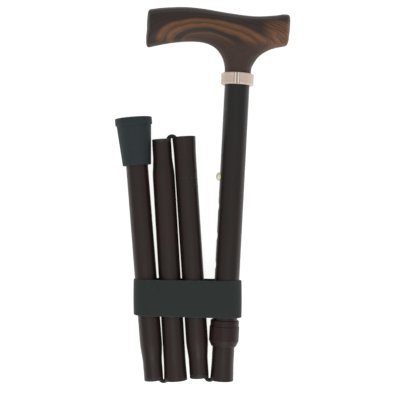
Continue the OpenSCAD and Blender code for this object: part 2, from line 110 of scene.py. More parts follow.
# Handle: how finely its copy is meshed and smoothed, its crisper ends and its longer nose
HANDLE_VOXEL = 0.45 * MM
SMOOTH_PASSES = 22
SMOOTH_FACTOR = 0.5
SMOOTH_REGAIN = 0.2 * MM
END_ZONE = 5 * MM
END_HELD = 0.4
END_SHARE = 0.15
NOSE_ZONE = 30 * MM
NOSE_MORE = 1.0 * MM

# Collar, the recess in its front and the two bars in the recess
COLLAR_R = 14.2 * MM
COLLAR_BEVEL = 0.65 * MM
COLLAR_RIM = 1.3 * MM
COLLAR_STEP = 0.25 * MM
COLLAR_SHORT = 1.35 * MM
COLLAR_RAISE = 0.2 * MM
COLLAR_GRIP = 6.8 * MM
COLLAR_SOFT = EDGE / 2
COLLAR_FINE = EDGE / 8
COLLAR_SEGMENTS = 300
TUBE_IN_COLLAR_R = 10.75 * MM
NECK_IN_COLLAR_R = 11.25 * MM
RECESS_W = 5.2 * MM
RECESS_DEPTH = 0.4 * MM
BAR_W = 1.3 * MM
BAR_PITCH = 2.6 * MM
BAR_SHIFT = -0.9 * MM
BAR_SINK = 0.1 * MM
BAR_OUT = 0.4 * MM
BAR_CORNER = BAR_W / 3
# Shape of a bar from its foot to its top: shares of its height, and of its half width taken off there
BAR_LEVELS = np.array((0.0, 0.5, 0.8, 0.95, 1.0))
BAR_INSETS = np.array((0.0, 0.0, 0.08, 0.25, 0.5))

# Tubes of the folding sections, and the line scored round the second one
TUBE_R = 9.5 * MM
BORE_R = 8.3 * MM
NECK_R = 8.25 * MM
NECK_BORE_R = 7.05 * MM
NECK_LEN = 14.6 * MM
NECK_BEND = 1.5 * MM
TAPER_LEN = 13 * MM
FLARE_LEN = 15 * MM
FLARE_RISE = 0.6 * MM
TUBE_BEND = 3.5 * MM
TUBE_ROLL = 0.45 * MM
TUBE_END_OUT = 0.5 * MM
TUBE_END_IN = 0.2 * MM
MARK_BELOW = 36 * MM
MARK_DEPTH = 0.12 * MM
MARK_W = 0.45 * MM
MARK_EDGE = 0.05 * MM
SECTIONS = (
    (2, SECTION_2, FLARE_RISE, MARK_BELOW),
    (3, SECTION_3, FLARE_RISE, None),
    (4, SECTION_4, 0.0, None),
)

# Upper tube and its adjusting holes
UPPER_R = 10.7 * MM
UPPER_BORE_R = 9.55 * MM
UPPER_EDGE = 0.3 * MM
HOLE_R = 3.7 * MM
HOLE_COUNT = 5
HOLE_SEGMENTS = 40
HOLE_PITCH = joints["height_adjust"]["range_m"][1] / (HOLE_COUNT - 1)

# Lock ring
LOCK_R = 12.8 * MM
LOCK_KNEE_R = 12.75 * MM
LOCK_FOOT_R = 10.6 * MM
LOCK_SOCKET_R = 11.8 * MM
LOCK_BORE_R = 9.7 * MM
LOCK_LIFT = 0.9 * MM
LOCK_FLOOR = 3.2 * MM
LOCK_SLOPE = 5.5 * MM
LOCK_KNEE = 0.7 * MM
LOCK_SOFT = 0.4 * MM
LOCK_EDGE = 0.25 * MM
LOCK_BORE_EDGE = 0.2 * MM
LOCK_SOCKET_EDGE = 0.15 * MM

# Ferrule and the ring grooves in its sole
FOOT_R = 15.9 * MM
FOOT_RIM = 6.2 * MM
FOOT_STEP_R = 14.9 * MM
FOOT_STEP = 0.1 * MM
FOOT_SOLE = 7.3 * MM
FOOT_SOLE_EDGE = 0.7 * MM
FOOT_RIM_EDGE = 0.5 * MM
FOOT_STEP_EDGE = 0.35 * MM
SLEEVE_R = 12.2 * MM
SLEEVE_BORE_R = 9.55 * MM
SLEEVE_MORE = 1.1 * MM
SLEEVE_EDGE = 0.8 * MM
SLEEVE_BORE_EDGE = 0.4 * MM
TREAD_COUNT = 3
TREAD_R = 5 * MM
TREAD_PITCH = 3 * MM
TREAD_W = 1.2 * MM
TREAD_DEPTH = 1 * MM
TREAD_DRAFT = 0.1 * MM
TREAD_EDGE = 0.25 * MM

# Storage band: BAND_DROP is how much lower it hangs at the shaft's side, along its top and its bottom
BAND_WALL = 1.5 * MM
BAND_CROWN = 0.25 * MM
BAND_SNUG = 0.8 * MM
BAND_SOFT = 0.6 * MM
BAND_DROP = (1.4 * MM, 2.6 * MM)
BAND_ARC_STEPS = 28
BAND_SIDE_STEPS = 40
BAND_HEIGHT_STEPS = 9

# Bends of the elastic cord: the model's loop, the thicker cord that is drawn, and its two legs
CORD_R = 1.3 * MM
LOOP_R = 3.8 * MM
BEND_CORD_R = 1.8 * MM
BEND_DRAWN_IN = {1: 1.3 * MM, 2: 0.6 * MM, 3: 1.3 * MM}
BEND_STEPS = 25
CORD_SIDES = 16
SHORT_LEG = 12 * MM
LONG_LEG = 30 * MM

# Floor, surroundings (height above the horizon, strength), lights and camera
FLOOR_SIZE = 80.0
FLOOR_DROP = 0.2 * MM
FLOOR_COLOUR = (0.42, 0.42, 0.417, 1.0)
FLOOR_ROUGHNESS = 0.9
FLOOR_GLOW_COLOUR = (1.0, 1.0, 0.995, 1.0)
FLOOR_GLOW = 0.88
SKY = ((-0.3, 0.8), (0.04, 0.8), (0.25, 0.42), (0.95, 0.5))
SKY_COLOUR = (1.0, 1.0, 0.995, 1.0)
Light = namedtuple("Light", "name place target size watts")
LIGHTS = (
    Light("key", (-0.75, 0.4, 1.55), (0, 0, 0), 2.6, 2.8),
    Light("fill", (0.95, -0.25, 1.4), (0, 0, 0), 2.6, 2.0),
    Light("low", (0.1, -1.3, 0.8), (0, -0.1, 0), 1.6, 5.0),
    Light("near", (0.1, -0.75, 1.1), (0, -0.12, 0), 0.9, 2.3),
)
VIEW_WIDTH = 344 * MM
VIEW_CENTRE = (-2.35 * MM, -3.45 * MM)
VIEW_DISTANCE = 860 * MM
SENSOR = 36.0


# Meshes


def points_of(piece):
    return np.array([vertex.co for vertex in piece.data.vertices], float)


def move_points(piece, points):
    piece.data.vertices.foreach_set("co", points.astype(np.float32).ravel())
    piece.data.update()


def middle_of(values):
    return (values.min() + values.max()) / 2


def placed(node, along):
    """Start of a round node on its own axis, its direction, its side direction and its length."""
    side = np.cross(along, UP)
    points = points_of(frame["nodes"][node])
    forward = points @ along
    start = along * forward.min() + side * middle_of(points @ side) + UP * middle_of(points @ UP)
    return Place(start, along, side, np.ptp(forward))


def box_of(node):
    """Lowest and highest corner of a node."""
    low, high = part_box(node)
    return np.array(low), np.array(high)


def linked(name, data):
    """New object in the scene."""
    piece = bpy.data.objects.new(name, data)
    bpy.context.scene.collection.objects.link(piece)
    return piece


def shade_smooth(piece):
    piece.data.polygons.foreach_set("use_smooth", [True] * len(piece.data.polygons))


@contextmanager
def faces_outward(mesh):
    """Opens a mesh for changes, and points its faces outward when they are done."""
    work = bmesh.new()
    work.from_mesh(mesh)
    yield work
    bmesh.ops.recalc_face_normals(work, faces=work.faces)
    work.to_mesh(mesh)
    work.free()


def rounded(corners, closed=True):
    """Outline with each corner (x, y, reach) turned into a curve, and the edge wear and painted highlight of each
    of its points.
    """
    points = []
    wear_and_highlight = []
    for k, (x, y, reach) in enumerate(corners):
        corner = np.array((x, y))
        open_end = not closed and k in (0, len(corners) - 1)
        if reach == 0 or open_end:
            points.append(corner)
            wear_and_highlight.append(0.0)
            continue
        before = np.array(corners[k - 1][:2])
        after = np.array(corners[(k + 1) % len(corners)][:2])
        start = corner + unit(before - corner) * reach
        end = corner + unit(after - corner) * reach
        for s in np.linspace(0, 1, CORNER_STEPS):
            points.append(start * (1 - s) ** 2 + corner * 2 * s * (1 - s) + end * s**2)
            # Edge mask, used both for wear and for painted highlight
            wear_and_highlight.append(math.sin(math.pi * s) if reach <= EDGE else 0.0)
    return np.array(points), np.array(wear_and_highlight)


def lengths_along(points, closed):
    """Distance along a line of points; a closed line has one more value than it has points."""
    ends = np.vstack((points, points[:1])) if closed else points
    return np.concatenate(((0.0,), np.cumsum(np.linalg.norm(np.diff(ends, axis=0), axis=1))))


def skin(name, grid, closed_rows, closed_columns, u, v, wear_and_highlight):
    """Smooth piece from a grid of points, with its UV map in metres and its edge wear and painted highlight as an
    attribute.
    """
    rows, columns = grid.shape[:2]
    i, j = np.meshgrid(
        np.arange(rows if closed_rows else rows - 1),
        np.arange(columns if closed_columns else columns - 1),
        indexing="ij",
    )
    corner_i = i.ravel()[:, None] + (0, 1, 1, 0)
    corner_j = j.ravel()[:, None] + (0, 0, 1, 1)
    faces = (corner_i % rows) * columns + corner_j % columns
    mesh = bpy.data.meshes.new(name)
    mesh.from_pydata(grid.reshape(-1, 3).tolist(), [], faces.tolist())
    uv = np.stack((np.array(u)[corner_i], np.array(v)[corner_j]), -1)
    mesh.uv_layers.new(name="metres").data.foreach_set("uv", uv.astype(np.float32).ravel())
    values = np.tile(wear_and_highlight, rows).astype(np.float32)
    # Edge mask for wear and for painted highlight
    mesh.attributes.new("wear_and_highlight", "FLOAT", "POINT").data.foreach_set("value", values)
    piece = linked(name, mesh)
    with faces_outward(mesh) as work:
        bmesh.ops.remove_doubles(work, verts=work.verts, dist=SAME_POINT)
    shade_smooth(piece)
    piece.modifiers.new("even_normals", "WEIGHTED_NORMAL")
    return piece


def lathe(name, place, corners, closed=True, segments=LATHE_SEGMENTS):
    """Round piece from its outline's corners (radius, height, reach of the corner's curve)."""
    outline, wear_and_highlight = rounded(corners, closed)
    angle = np.linspace(0, 2 * math.pi, segments, endpoint=False)
    out = np.cos(angle)[:, None] * place.side + np.sin(angle)[:, None] * UP
    grid = place.start + outline[None, :, :1] * out[:, None, :] + outline[None, :, 1:] * place.along
    u = np.linspace(0, 2 * math.pi * TUBE_R, segments + 1)
    return skin(name, grid, True, closed, u, lengths_along(outline, closed), wear_and_highlight)


def sweep(name, path, across, upward, section, wear_and_highlight, closed_path):
    """Piece that carries a closed section along a path; across and upward place the section's two axes."""
    grid = (
        path[:, None, :]
        + section[None, :, :1] * across[:, None, :]
        + section[None, :, 1:] * upward[:, None, :]
    )
    u = lengths_along(path, closed_path)
    return skin(name, grid, closed_path, True, u, lengths_along(section, True), wear_and_highlight)


def cap_ends(piece, sides):
    """Closes the two ends of a piece that was carried along an open path."""
    with faces_outward(piece.data) as work:
        rims = [edge for edge in work.edges if edge.is_boundary]
        bmesh.ops.holes_fill(work, edges=rims, sides=sides)
    shade_smooth(piece)


def bake(piece):
    """Turns a piece's modifiers into its mesh and shades it smooth."""
    applied = piece.evaluated_get(bpy.context.evaluated_depsgraph_get())
    piece.data = bpy.data.meshes.new_from_object(applied)
    piece.modifiers.clear()
    shade_smooth(piece)


# Materials

# Sockets of a Mix node that mixes colours
MIX_SHARE = 0
MIX_A = 6
MIX_B = 7
MIX_RESULT = 2

# Noise: its roughness, and the range that holds most of its values
NOISE_ROUGHNESS = 0.55
MOST = (0.3, 0.7)
# Noise that breaks up the edge wear and painted highlight
WEAR_AND_HIGHLIGHT_SCALE = 600.0
WEAR_AND_HIGHLIGHT_RANGE = (0.42, 0.62)


def linear(hex_colour):
    """Linear colour of an sRGB hex colour."""
    parts = [int(hex_colour[k : k + 2], 16) / 255 for k in (0, 2, 4)]
    return (*[c / 12.92 if c <= 0.04045 else ((c + 0.055) / 1.055) ** 2.4 for c in parts], 1.0)


def relit(hex_colour, factor, lift=0.0):
    """Linear colour of a hex colour, made lighter or darker."""
    return (*[min(1.0, c * factor + lift) for c in linear(hex_colour)[:3]], 1.0)


class Look:
    """A material whose nodes are added one at a time and feed its Principled shader."""

    def __init__(self, name, **constants):
        self.material = bpy.data.materials.new(name)
        self.material.use_nodes = True
        self.tree = self.material.node_tree
        self.shader = self.tree.nodes["Principled BSDF"]
        self.where = self.add("TexCoord").outputs["Object"]
        self.metres = self.add("UVMap", uv_map="metres").outputs["UV"]
        self.set(**constants)

    def add(self, kind, inputs=None, **settings):
        node = self.tree.nodes.new("ShaderNode" + kind)
        for key, value in settings.items():
            setattr(node, key, value)
        for key, value in (inputs or {}).items():
            self.feed(node.inputs[key], value)
        return node

    def feed(self, socket, value):
        if isinstance(value, bpy.types.NodeSocket):
            self.tree.links.new(value, socket)
        else:
            socket.default_value = value

    def set(self, **sockets):
        for key, value in sockets.items():
            self.feed(self.shader.inputs[key.replace("_", " ")], value)

    def mapped(self, vector, scale=(1, 1, 1), location=(0, 0, 0), rotation=(0, 0, 0), kind="POINT"):
        inputs = {"Vector": vector, "Scale": scale, "Location": location, "Rotation": rotation}
        return self.add("Mapping", inputs, vector_type=kind).outputs["Vector"]

    def noise(self, vector, scale, detail=3.0):
        inputs = {"Vector": vector, "Scale": scale, "Detail": detail, "Roughness": NOISE_ROUGHNESS}
        return self.add("TexNoise", inputs).outputs["Fac"]

    def attribute(self, name):
        return self.add("Attribute", attribute_name=name).outputs["Fac"]

    def math(self, operation, a, b):
        return self.add("Math", {0: a, 1: b}, operation=operation).outputs[0]

    def product(self, first, *others):
        for other in others:
            first = self.math("MULTIPLY", first, other)
        return first

    def vector(self, operation, *vectors):
        return self.add("VectorMath", dict(enumerate(vectors)), operation=operation).outputs

    def split(self, vector):
        return self.add("SeparateXYZ", {0: vector}).outputs

    def joined(self, x, y, z):
        return self.add("CombineXYZ", {0: x, 1: y, 2: z}).outputs[0]

    def spread(self, value, low, high, to_low=0.0, to_high=1.0):
        inputs = {"Value": value, "From Min": low, "From Max": high, "To Min": to_low, "To Max": to_high}
        return self.add("MapRange", inputs, interpolation_type="SMOOTHSTEP").outputs["Result"]

    def mix(self, share, a, b):
        inputs = {MIX_SHARE: share, MIX_A: a, MIX_B: b}
        node = self.add("Mix", inputs, data_type="RGBA")
        return node.outputs[MIX_RESULT]

    def ramp(self, value, stops):
        node = self.add("ValToRGB", {"Fac": value})
        elements = node.color_ramp.elements
        while len(elements) < len(stops):
            elements.new(0.5)
        for element, (position, shade) in zip(elements, stops):
            element.position = position
            element.color = (shade, shade, shade, 1.0)
        return node.outputs["Color"]

    def bump(self, height, distance, strength):
        inputs = {"Height": height, "Distance": distance, "Strength": strength}
        self.set(Normal=self.add("Bump", inputs).outputs["Normal"])

    def wear_and_highlight(self):
        """Wear of the edges together with painted highlight on them, broken up by noise."""
        broken = self.spread(self.noise(self.where, WEAR_AND_HIGHLIGHT_SCALE), *WEAR_AND_HIGHLIGHT_RANGE)
        return self.product(self.attribute("wear_and_highlight"), broken)


# Tube paint; the upper tube's colour changes along PAINT_TOP_FADE, measured up the shaft
PAINT_CLOUD_SCALE = 55.0
PAINT_CLOUD_RANGE = (0.35, 0.68)
PAINT_SATIN_SCALE = 240.0
PAINT_ROUGHNESS = (0.3, 0.42)
PAINT_GRAIN_SCALE = 2600.0
PAINT_GRAIN_DEPTH = 0.04 * MM
PAINT_GRAIN_STRENGTH = 0.35
PAINT_WORN = "8a7f78"
PAINT_WORN_SHARE = 0.5
PAINT_TOP_FADE = (-10 * MM, 85 * MM)


def painted_tube(name, dark, warm, top=None):
    """Satin paint on drawn tube: faint clouds of colour, a fine grain and bright worn edges."""
    look = Look(name, Specular_IOR_Level=0.39)
    cloud = look.noise(look.where, PAINT_CLOUD_SCALE, detail=4.0)
    colour = look.mix(look.spread(cloud, *PAINT_CLOUD_RANGE), linear(dark), linear(warm))
    if top:
        height = look.vector("DOT_PRODUCT", look.where, tuple(SHAFT))["Value"]
        colour = look.mix(look.spread(height, *PAINT_TOP_FADE), colour, linear(top))
    edge_wear_and_highlight = look.product(look.wear_and_highlight(), PAINT_WORN_SHARE)
    satin = look.noise(look.where, PAINT_SATIN_SCALE)
    look.set(
        Base_Color=look.mix(edge_wear_and_highlight, colour, linear(PAINT_WORN)),
        Roughness=look.spread(satin, *MOST, *PAINT_ROUGHNESS),
    )
    grain = look.noise(look.where, PAINT_GRAIN_SCALE, detail=2.0)
    look.bump(grain, PAINT_GRAIN_DEPTH, PAINT_GRAIN_STRENGTH)
    return look.material


# Plain materials
FLECK = 0.12
FLECK_SCALE = 900.0
FLECK_DEPTH = 0.03 * MM
FLECK_STRENGTH = 0.5
FLECK_ROUGH_RANGE = (0.25, 0.75)
FLECK_ROUGH_LOW = 0.85
FLECK_ROUGH_HIGH = 1.15
# Lighter edges of plain materials: partly wear, partly painted highlight
RUB_AND_HIGHLIGHT = 0.6
RUB_AND_HIGHLIGHT_LIGHTER = 1.7
RUB_AND_HIGHLIGHT_LIFT = 0.02


def plain(name, colour, roughness, fleck=FLECK, scale=FLECK_SCALE, depth=FLECK_DEPTH, rub_and_highlight=RUB_AND_HIGHLIGHT, **constants):
    """Even material with a slight fleck in its colour and roughness, a fine bump, and lighter edges that are
    partly wear and partly painted highlight.
    """
    look = Look(name, **constants)
    spots = look.noise(look.where, scale)
    shade = look.mix(look.spread(spots, *MOST), relit(colour, 1 - fleck), relit(colour, 1 + fleck))
    # Lighter edges: partly wear, partly painted highlight
    edge_wear_and_highlight = look.product(look.wear_and_highlight(), rub_and_highlight)
    rough = (roughness * FLECK_ROUGH_LOW, roughness * FLECK_ROUGH_HIGH)
    look.set(
        Base_Color=look.mix(edge_wear_and_highlight, shade, relit(colour, RUB_AND_HIGHLIGHT_LIGHTER, RUB_AND_HIGHLIGHT_LIFT)),
        Roughness=look.spread(spots, *FLECK_ROUGH_RANGE, *rough),
    )
    look.bump(spots, depth, FLECK_STRENGTH)
    return look.material


# Wood: the rings' middle, their reach to each side, and how they sway
GRAIN_ACROSS_SHARE = 0.392
GRAIN_BELOW_TOP = 32.8 * MM
GRAIN_TILT = math.radians(-6)
GRAIN_NOSE = 35.5 * MM
GRAIN_HEEL = 53.3 * MM
GRAIN_RISE = 18.9 * MM
GRAIN_DEPTH = 60 * MM
GRAIN_SWAY = (6 * MM, 5 * MM, 6 * MM)
GRAIN_SWAY_SCALE = 38.0
# Fine lines and pores
RING_LINES = 14.0
ARC_LINES = 42
ARC_LINES_ROUND = 3.2
PORE_SCALE = (300, 2400, 2400)
PORE_DEPTH = 0.05 * MM
PORE_STRENGTH = 0.3
# Where the streaks fade: distances below the top, or from the heel's or the nose's end
GRAIN_FADE = (36.5 * MM, 28.0 * MM)
HEEL_GLOW = (29 * MM, 12 * MM)
CROWN_FADE = (17 * MM, 10 * MM)
NOSE_REACH = (14 * MM, 24 * MM)
NOSE_FADE = (34 * MM, 25 * MM)
# What lines and pores do to the light and dark wood: from low, from high, and what these two become
HEEL_BY_ARC_LINES = (0.36, 0.56, 0.24, 0.9)
GLOW_BY_RING_LINES = (0.36, 0.58, 0.45, 1.0)
GLOW_BY_ARC_LINES = (0.34, 0.52, 0.62, 1.0)
GLOW_BY_PORES = (0.3, 0.55, 0.75, 1.0)
DARK_BY_RING_LINES = (0.38, 0.66)
NECK_BY_ARC_LINES = (0.35, 0.65)
WOOD_ROUGHNESS = (0.46, 0.58)
# Colours
WOOD_DARK = ("262120", "3a302d")
WOOD_NECK = ("44332d", "4d3a33")
WOOD_LIGHT = "96643f"
# Streaks from the rings' middle outward: ring, strength
STREAKS = (
    (0.00, 0.10), (0.24, 0.04), (0.34, 0.20), (0.46, 0.26), (0.52, 0.52), (0.57, 0.22), (0.61, 0.03),
    (0.70, 0.06), (0.77, 0.62), (0.86, 0.95), (0.92, 0.66), (0.95, 0.28), (0.99, 0.62), (1.06, 1.00),
    (1.12, 0.70), (1.17, 0.12), (1.22, 0.04), (1.30, 0.10), (1.34, 0.02), (1.44, 0.08), (1.50, 0.02),
    (1.62, 0.05), (1.68, 0.01), (2.20, 0.00),
)
LAST_RING = STREAKS[-1][0]


def wood_rings(look, low, high):
    """Rings that run through the handle: ring number, angle round the rings' middle, and depth."""
    centre = (
        low.x + (high.x - low.x) * GRAIN_ACROSS_SHARE,
        high.y - GRAIN_BELOW_TOP,
        (low.z + high.z) / 2,
    )
    place = look.mapped(look.where, location=centre, rotation=(0, 0, GRAIN_TILT), kind="TEXTURE")
    waves = look.add("TexNoise", {"Vector": look.where, "Scale": GRAIN_SWAY_SCALE, "Detail": 2.0})
    sway = look.vector("SUBTRACT", waves.outputs["Color"], (0.5, 0.5, 0.5))["Vector"]
    x, y, z = look.split(look.vector("MULTIPLY_ADD", sway, GRAIN_SWAY, place)["Vector"])
    heelward = look.math("DIVIDE", x, GRAIN_HEEL)
    noseward = look.math("DIVIDE", x, -GRAIN_NOSE)
    across = look.math("MAXIMUM", heelward, noseward)
    up = look.math("DIVIDE", y, GRAIN_RISE)
    depth = look.math("DIVIDE", z, GRAIN_DEPTH)
    ring = look.vector("LENGTH", look.joined(across, up, depth))["Value"]
    return ring, look.math("ARCTAN2", up, across), depth


def wood_lines(look, ring, arc, depth):
    """Two sets of fine lines: some that follow whole rings, and some that end along them."""
    inputs = {"W": look.product(ring, RING_LINES), "Detail": 4.0}
    ring_lines = look.add("TexNoise", inputs, noise_dimensions="1D").outputs["Fac"]
    outward = look.product(ring, ARC_LINES)
    around = look.product(arc, ARC_LINES_ROUND)
    return ring_lines, look.noise(look.joined(outward, around, depth), 1.0)


def wood_glow(look, ring, arc_lines, above_neck, low, high):
    """Strength of the light streaks: the rings' own, fading at the neck and the nose, and the heel's."""
    x, y, _ = look.split(look.where)
    stops = [(number / LAST_RING, strength) for number, strength in STREAKS]
    streak = look.ramp(look.math("DIVIDE", ring, LAST_RING), stops)
    past_nose = look.spread(x, low.x + NOSE_REACH[0], low.x + NOSE_REACH[1])
    nose = look.spread(y, high.y - NOSE_FADE[0], high.y - NOSE_FADE[1])
    streak = look.product(streak, look.math("MAXIMUM", nose, past_nose), above_neck)
    heel = look.spread(x, high.x - HEEL_GLOW[0], high.x - HEEL_GLOW[1])
    crown = look.spread(y, high.y - CROWN_FADE[0], high.y - CROWN_FADE[1], 1.0, 0.0)
    heel = look.product(heel, crown, look.spread(arc_lines, *HEEL_BY_ARC_LINES))
    return look.math("MAXIMUM", streak, heel)


def streaked_wood():
    """Lacquered dark wood: arched orange streaks from rings that run right through the handle."""
    low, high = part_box("handle")
    look = Look("streaked_wood", Coat_Weight=0.06, Coat_Roughness=0.35, Specular_IOR_Level=0.3)
    ring, arc, depth = wood_rings(look, low, high)
    ring_lines, arc_lines = wood_lines(look, ring, arc, depth)
    pores = look.noise(look.mapped(look.where, scale=PORE_SCALE), 1.0, detail=2.0)
    height = look.split(look.where)["Y"]
    above_neck = look.spread(height, high.y - GRAIN_FADE[0], high.y - GRAIN_FADE[1])
    glow = look.product(
        wood_glow(look, ring, arc_lines, above_neck, low, high),
        look.spread(ring_lines, *GLOW_BY_RING_LINES),
        look.spread(arc_lines, *GLOW_BY_ARC_LINES),
        look.spread(pores, *GLOW_BY_PORES),
    )
    dark = look.mix(look.spread(ring_lines, *DARK_BY_RING_LINES), *map(linear, WOOD_DARK))
    neck = look.mix(look.spread(arc_lines, *NECK_BY_ARC_LINES), *map(linear, WOOD_NECK))
    look.set(
        Base_Color=look.mix(glow, look.mix(above_neck, neck, dark), linear(WOOD_LIGHT)),
        Roughness=look.spread(pores, *MOST, *WOOD_ROUGHNESS),
    )
    look.bump(pores, PORE_DEPTH, PORE_STRENGTH)
    return look.material


# Brushed metal
STROKE_SCALE = (60, 5200, 1)
STROKE_DEPTH = 0.02 * MM
STROKE_STRENGTH = 0.4
METAL_CLOUD_SCALE = 260.0
METAL_ROUGHNESS = (0.36, 0.5)
# Painted highlight along the bevelled edges of the collar and its bars
METAL_EDGE_HIGHLIGHT = "fbf3ed"
# Painted shade in the collar's recess: a darker copy of the collar metal
METAL_RECESS_SHADE = "b5a193"


def brushed(name, dark, light):
    """Champagne metal, brushed round the ring, with clouded roughness, painted highlights on its edges and painted
    shade in its recesses.
    """
    look = Look(name, Metallic=0.2)
    strokes = look.noise(look.mapped(look.metres, scale=STROKE_SCALE), 1.0)
    shade = look.mix(look.spread(strokes, *MOST), linear(dark), linear(light))
    # Painted highlight on the edges
    shade = look.mix(look.wear_and_highlight(), shade, linear(METAL_EDGE_HIGHLIGHT))
    look.set(
        # Painted shade: the recess is coloured darker
        Base_Color=look.mix(look.attribute("recess_shade"), shade, linear(METAL_RECESS_SHADE)),
        Roughness=look.spread(look.noise(look.where, METAL_CLOUD_SCALE), *MOST, *METAL_ROUGHNESS),
    )
    look.bump(strokes, STROKE_DEPTH, STROKE_STRENGTH)
    return look.material


# Woven and braided covers
THREADS_PER_PITCH = 0.5
FUZZ_SCALE = 1500.0
FUZZ_RANGE = (0.2, 0.8)
WEAVE_RANGE = (0.3, 1.0)
WEAVE_STRENGTH = 0.5
WEAVE_ROUGHNESS = (0.62, 0.78)
# Lighter edges of woven covers: partly wear, partly painted highlight
WEAVE_RUB_AND_HIGHLIGHT = 2.2


def woven(name, colour, light, pitch, slant, depth, **constants):
    """Woven or braided cover: two sets of threads that cross at a slant, from the UV map."""
    look = Look(name, **constants)
    threads = []
    for hand in (-1, 1):
        turned = look.mapped(look.metres, rotation=(0, 0, hand * slant))
        inputs = {"Vector": turned, "Scale": THREADS_PER_PITCH / pitch}
        threads.append(look.add("TexWave", inputs, wave_profile="SIN").outputs["Fac"])
    weave = look.math("MAXIMUM", *threads)
    fuzz = look.noise(look.where, FUZZ_SCALE)
    lit = look.product(look.spread(weave, *WEAVE_RANGE), look.spread(fuzz, *FUZZ_RANGE))
    shade = look.mix(lit, linear(colour), linear(light))
    look.set(
        # Lighter edges: partly wear, partly painted highlight
        Base_Color=look.mix(look.wear_and_highlight(), shade, relit(light, WEAVE_RUB_AND_HIGHLIGHT)),
        Roughness=look.spread(fuzz, *MOST, *WEAVE_ROUGHNESS),
    )
    look.bump(weave, depth, WEAVE_STRENGTH)
    return look.material


wood = streaked_wood()
collar_metal = brushed("collar_metal", "ddc5b5", "e7d2c4")
# Near-white copy of the collar metal: painted highlight on the raised bars
bar_painted_highlight = brushed("bar_painted_highlight", "fdeee2", "fff6ee")
tube_paint = painted_tube("tube_paint", "251a16", "2c1916")
upper_paint = painted_tube("upper_tube_paint", "211713", "271712", top="1d1c1b")
lock_plastic = plain("lock_plastic", "2c1a17", 0.42, Specular_IOR_Level=0.3)
bush_plastic = plain("bush_plastic", "2b2d2e", 0.5)
nylon = plain("nylon", "d9d6cc", 0.45, Subsurface_Weight=0.05)
steel = plain("steel", "b4b6b8", 0.3, scale=1400.0, Metallic=1.0)
# Pale brass raised almost to white: painted highlight in place of the button's metal reflection
brass_painted_highlight = plain("pale_brass_painted_highlight", "fffbd6", 0.3, fleck=0.04)
gasket_rubber = plain("gasket_rubber", "5a5a58", 0.75)
ferrule_rubber = plain(
    "ferrule_rubber", "2d3638", 0.66, fleck=0.16, scale=1100.0, depth=0.06 * MM, rub_and_highlight=0.15,
    Specular_IOR_Level=0.28,
)
band_elastic = woven(
    "band_elastic", "2b302f", "343a38", pitch=0.6 * MM, slant=math.radians(45), depth=0.03 * MM,
    Specular_IOR_Level=0.2, Sheen_Weight=0.12, Sheen_Roughness=0.4,
)
cord_braid = woven(
    "cord_braid", "0c0d0e", "232425", pitch=0.7 * MM, slant=math.radians(42), depth=0.08 * MM,
)

# Model nodes that keep their own shape: material, reach of the rounded edges, nodes
KEPT_NODES = (
    (lock_plastic, 0.12 * MM, ("lock_sleeve",)),
    (brass_painted_highlight, NODE_EDGE, ("snap_button",)),
    (bush_plastic, 0.25 * MM, ("end_bush_2", "end_bush_3", "end_bush_4")),
    (nylon, NODE_EDGE, ("handle_insert", "glide_bush", "cord_anchor", "foot_anchor")),
    (
        steel,
        0.08 * MM,
        ("handle_screw", "button_spring", "cord_crimp_top", "cord_crimp_foot", "ferrule_washer"),
    ),
    (gasket_rubber, NODE_EDGE, ("lock_gasket",)),
    (cord_braid, NODE_EDGE, ("cord_run_1", "cord_run_2", "cord_run_3", "cord_run_4")),
)


# Pieces


def dress(piece, material, body=None, replaces=()):
    """Gives a piece its material, and where it is new its body and the nodes it stands for."""
    piece.data.materials.clear()
    piece.data.materials.append(material)
    if body:
        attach(piece, body)
    if replaces:
        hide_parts(*replaces)
    return piece


def soften(node, material, edge):
    """Keeps a model node, with small rounded edges and even shading."""
    piece = frame["nodes"][node]
    shade_smooth(piece)
    weld = piece.modifiers.new("weld", "WELD")
    weld.merge_threshold = WELD_WITHIN
    bevel = piece.modifiers.new("edges", "BEVEL")
    bevel.width = edge
    bevel.segments = NODE_EDGE_STEPS
    bevel.limit_method = "ANGLE"
    bevel.angle_limit = BEVEL_ANGLE
    piece.modifiers.new("even_normals", "WEIGHTED_NORMAL")
    return dress(piece, material)


def wooden_handle():
    """Smooth copy of the faceted handle, crisper at its ends, grown back by what smoothing takes away."""
    low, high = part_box("handle")
    piece = linked("handle_wood", frame["nodes"]["handle"].data.copy())
    remesh = piece.modifiers.new("even_faces", "REMESH")
    remesh.mode = "VOXEL"
    remesh.voxel_size = HANDLE_VOXEL
    bake(piece)
    stretch_nose(piece, low.x)
    group = piece.vertex_groups.new(name="soft")
    for vertex in piece.data.vertices:
        inset = min(vertex.co.x - low.x, high.x - vertex.co.x) / END_ZONE
        group.add([vertex.index], min(1.0, END_SHARE + max(0.0, inset - END_HELD)), "REPLACE")
    smooth = piece.modifiers.new("smooth", "SMOOTH")
    smooth.factor = SMOOTH_FACTOR
    smooth.iterations = SMOOTH_PASSES
    smooth.vertex_group = group.name
    grow = piece.modifiers.new("grow", "DISPLACE")
    grow.strength = SMOOTH_REGAIN
    grow.mid_level = 0.0
    bake(piece)
    return dress(piece, wood, "handle_section", ["handle"])


def stretch_nose(piece, tip):
    """Draws the nose of the handle out a little, most at its tip."""
    points = points_of(piece)
    share = np.clip((tip + NOSE_ZONE - points[:, 0]) / NOSE_ZONE, 0, 1)
    points[:, 0] -= NOSE_MORE * share**2 * (3 - 2 * share)
    move_points(piece, points)


